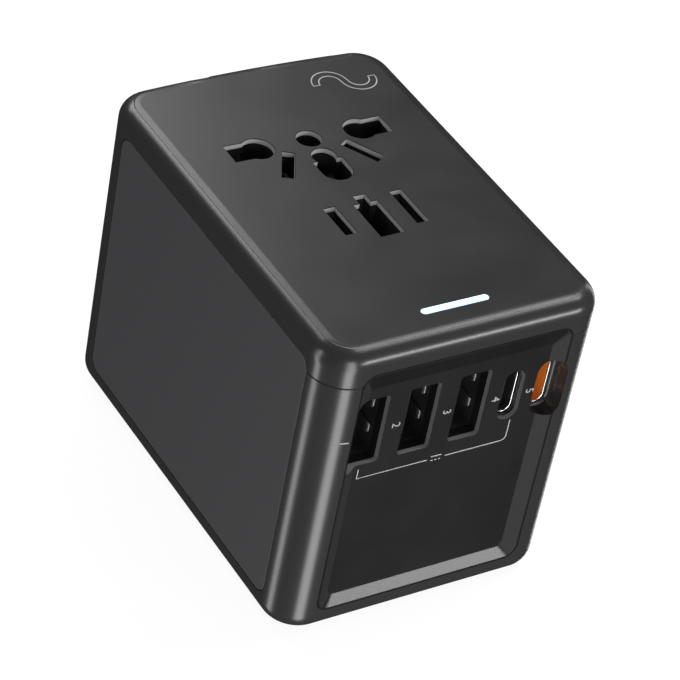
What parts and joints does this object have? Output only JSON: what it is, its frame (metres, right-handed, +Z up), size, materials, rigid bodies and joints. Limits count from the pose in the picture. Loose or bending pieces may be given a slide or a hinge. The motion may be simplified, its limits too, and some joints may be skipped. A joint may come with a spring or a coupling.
{
  "type": "universal travel adapter",
  "caption": "Block-shaped universal travel adapter with a multi-country outlet on top, USB ports at the front and fold-out plugs in the base.",
  "frame": {"origin": "centre of the footprint on the surface it rests on", "axes": "+Z up through the outlet face, -Y out of the USB face, +X out of the side with the plug sliders"},
  "size_m": [0.0515, 0.0744, 0.0567],
  "materials": {
    "gloss_black": "glossy",
    "panel_grey": "satin",
    "black_plastic": "satin",
    "orange_plastic": "satin",
    "nickel": "polished",
    "contact_brass": "satin",
    "steel": "satin",
    "board_green": "satin",
    "ferrite": "matte",
    "winding_tape": "satin",
    "capacitor_can": "satin",
    "fuse_ceramic": "glossy",
    "lamp_lens": "glossy"
  },
  "bodies": {
    "housing": {"top_frame": "gloss_black", "main_housing": "gloss_black", "socket_plate": "panel_grey", "left_panel": "panel_grey", "right_panel": "panel_grey", "back_panel": "panel_grey", "front_panel": "panel_grey", "base_plate": "panel_grey", "contact_carrier": "black_plastic", "usb_a_tongue_1": "black_plastic", "usb_a_tongue_2": "black_plastic", "usb_a_tongue_3": "black_plastic", "usb_c_tongue_1": "black_plastic", "charger_chips": "black_plastic", "usb_c_tongue_2": "orange_plastic", "live_contact": "contact_brass", "neutral_contact": "contact_brass", "earth_contact": "contact_brass", "live_bus_bar": "contact_brass", "neutral_bus_bar": "contact_brass", "earth_bus_bar": "contact_brass", "fuse_clips": "contact_brass", "usb_a_shell_1": "steel", "usb_a_shell_2": "steel", "usb_a_shell_3": "steel", "usb_c_shell_1": "steel", "usb_c_shell_2": "steel", "base_screws": "steel", "deck_screws": "steel", "board_screws": "steel", "guide_rods": "steel", "shutter_spring": "steel", "lamp_board": "board_green", "usb_board": "board_green", "power_board": "board_green", "transformer_core": "ferrite", "choke_coil": "ferrite", "transformer_winding": "winding_tape", "capacitors": "capacitor_can", "light_pipe": "lamp_lens"},
    "uk_plug": {"uk_carriage": "black_plastic", "uk_line_pins": "nickel", "uk_pin_sleeves": "black_plastic", "uk_earth_pin": "nickel", "uk_knob": "black_plastic"},
    "eu_plug": {"eu_carriage": "black_plastic", "eu_pins": "nickel", "eu_pin_sleeves": "black_plastic", "eu_knob": "black_plastic"},
    "us_plug": {"us_carriage": "black_plastic", "us_knob": "black_plastic"},
    "us_blade_left": {"us_blade_left": "nickel", "us_rotor_left": "black_plastic"},
    "us_blade_right": {"us_blade_right": "nickel", "us_rotor_right": "black_plastic"},
    "shutter": {"safety_shutter": "black_plastic"},
    "fuse_drawer": {"fuse_drawer": "black_plastic", "cartridge_fuse": "fuse_ceramic", "spare_fuse": "fuse_ceramic"}
  },
  "joints": [
    {"name": "uk_slide", "type": "slide", "parent": "housing", "child": "uk_plug", "axis": [0, 0, -1], "range_m": [0, 0.0235]},
    {"name": "eu_slide", "type": "slide", "parent": "housing", "child": "eu_plug", "axis": [0, 0, -1], "range_m": [0, 0.0235]},
    {"name": "us_slide", "type": "slide", "parent": "housing", "child": "us_plug", "axis": [0, 0, -1], "range_m": [0, 0.0235]},
    {"name": "us_left_twist", "type": "hinge", "parent": "us_plug", "child": "us_blade_left", "pos_m": [-0.00635, -0.013, 0.029], "axis": [0, 0, -1], "range_deg": [0, 30]},
    {"name": "us_right_twist", "type": "hinge", "parent": "us_plug", "child": "us_blade_right", "pos_m": [0.00635, -0.013, 0.029], "axis": [0, 0, 1], "range_deg": [0, 30]},
    {"name": "shutter_slide", "type": "slide", "parent": "housing", "child": "shutter", "axis": [0, 1, 0], "range_m": [0, 0.0053], "stiffness_N_per_m": 150, "springref_m": -0.004, "deforming": ["shutter_spring"]},
    {"name": "fuse_drawer_pull", "type": "slide", "parent": "housing", "child": "fuse_drawer", "axis": [0, 0, -1], "range_m": [0, 0.016]}
  ]
}
